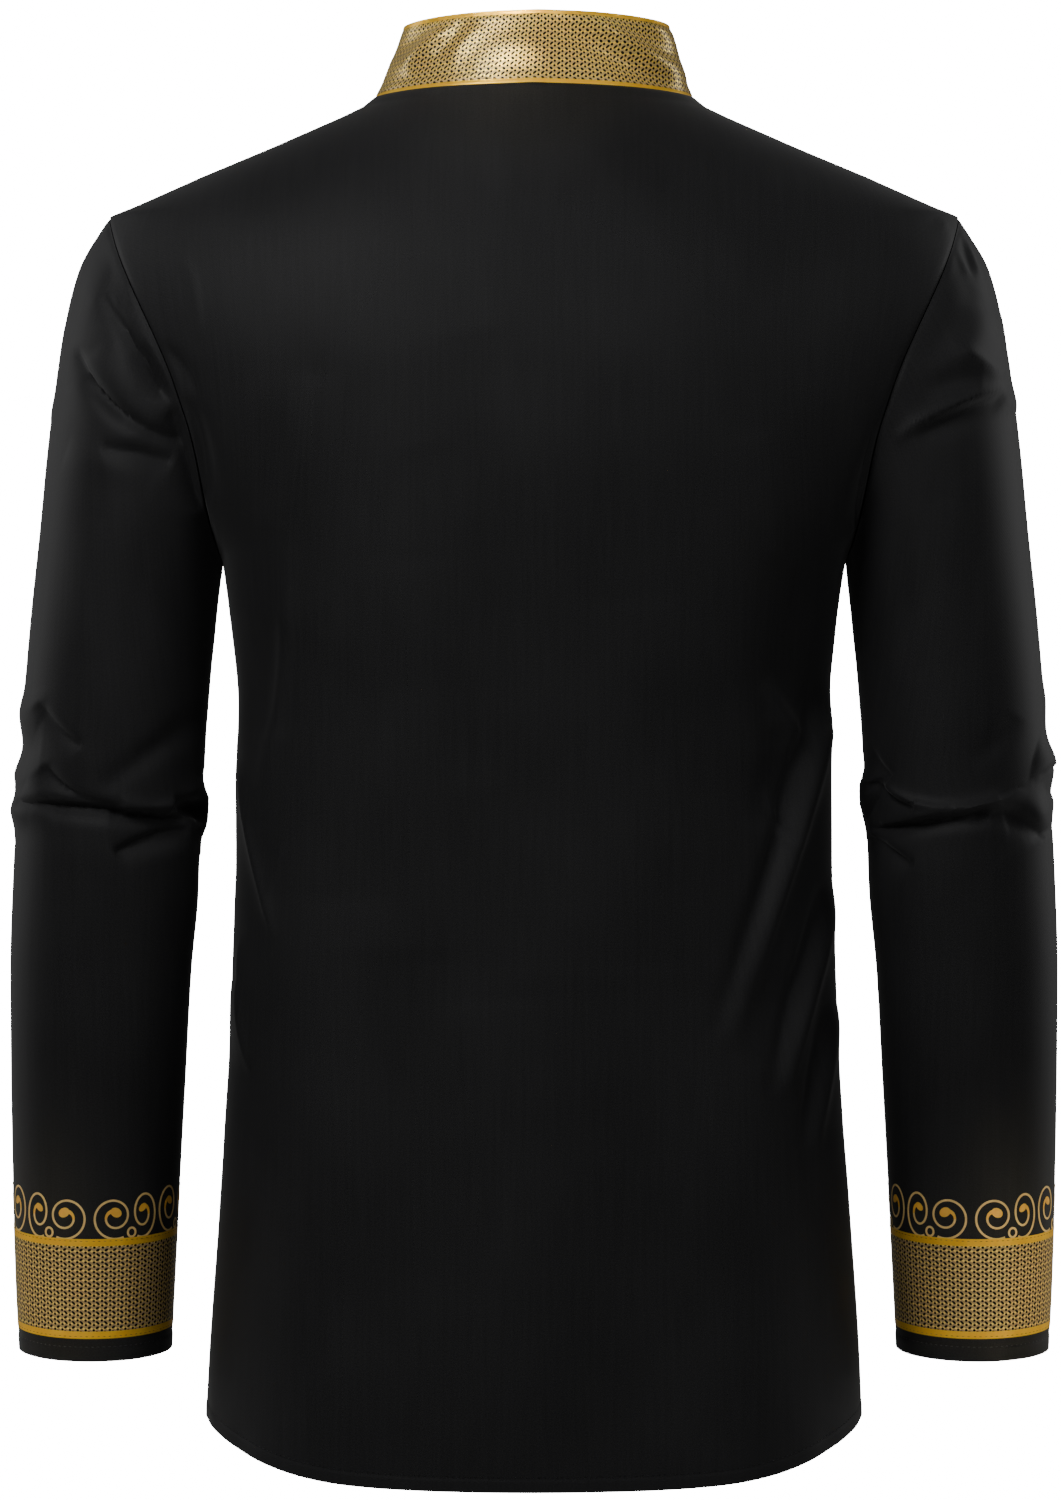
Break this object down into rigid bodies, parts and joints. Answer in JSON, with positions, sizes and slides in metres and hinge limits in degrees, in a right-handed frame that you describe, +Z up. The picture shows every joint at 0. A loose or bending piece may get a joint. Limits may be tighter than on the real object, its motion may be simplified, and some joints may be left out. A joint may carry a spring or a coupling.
{
  "type": "dashiki shirt",
  "caption": "Black long-sleeved dashiki shirt with a gold-printed stand collar and cuff bands, buttoned front and curved hem, in its hollow worn shape.",
  "frame": {"origin": "the middle of the neck base, level with the neck points at the two shoulder seams", "axes": "+Z up to the collar, the front faces -Y, +X to the wearer's left"},
  "size_m": [0.5648, 0.2575, 0.777],
  "materials": {
    "black_cloth": "smooth black woven cloth with a soft satin sheen",
    "gold_printed_cloth": "black cloth with a gold foil print of small dots on a brown ground, and gold border lines",
    "button_plastic": "black moulded plastic"
  },
  "bodies": {
    "root": {"back": "black_cloth", "front_left": "black_cloth", "front_right": "black_cloth", "placket": "black_cloth", "collar": "gold_printed_cloth", "sleeve_left": "black_cloth", "sleeve_right": "black_cloth", "button_1": "button_plastic", "button_2": "button_plastic", "button_3": "button_plastic", "button_4": "button_plastic", "button_5": "button_plastic", "button_6": "button_plastic", "button_7": "button_plastic"}
  },
  "joints": []
}
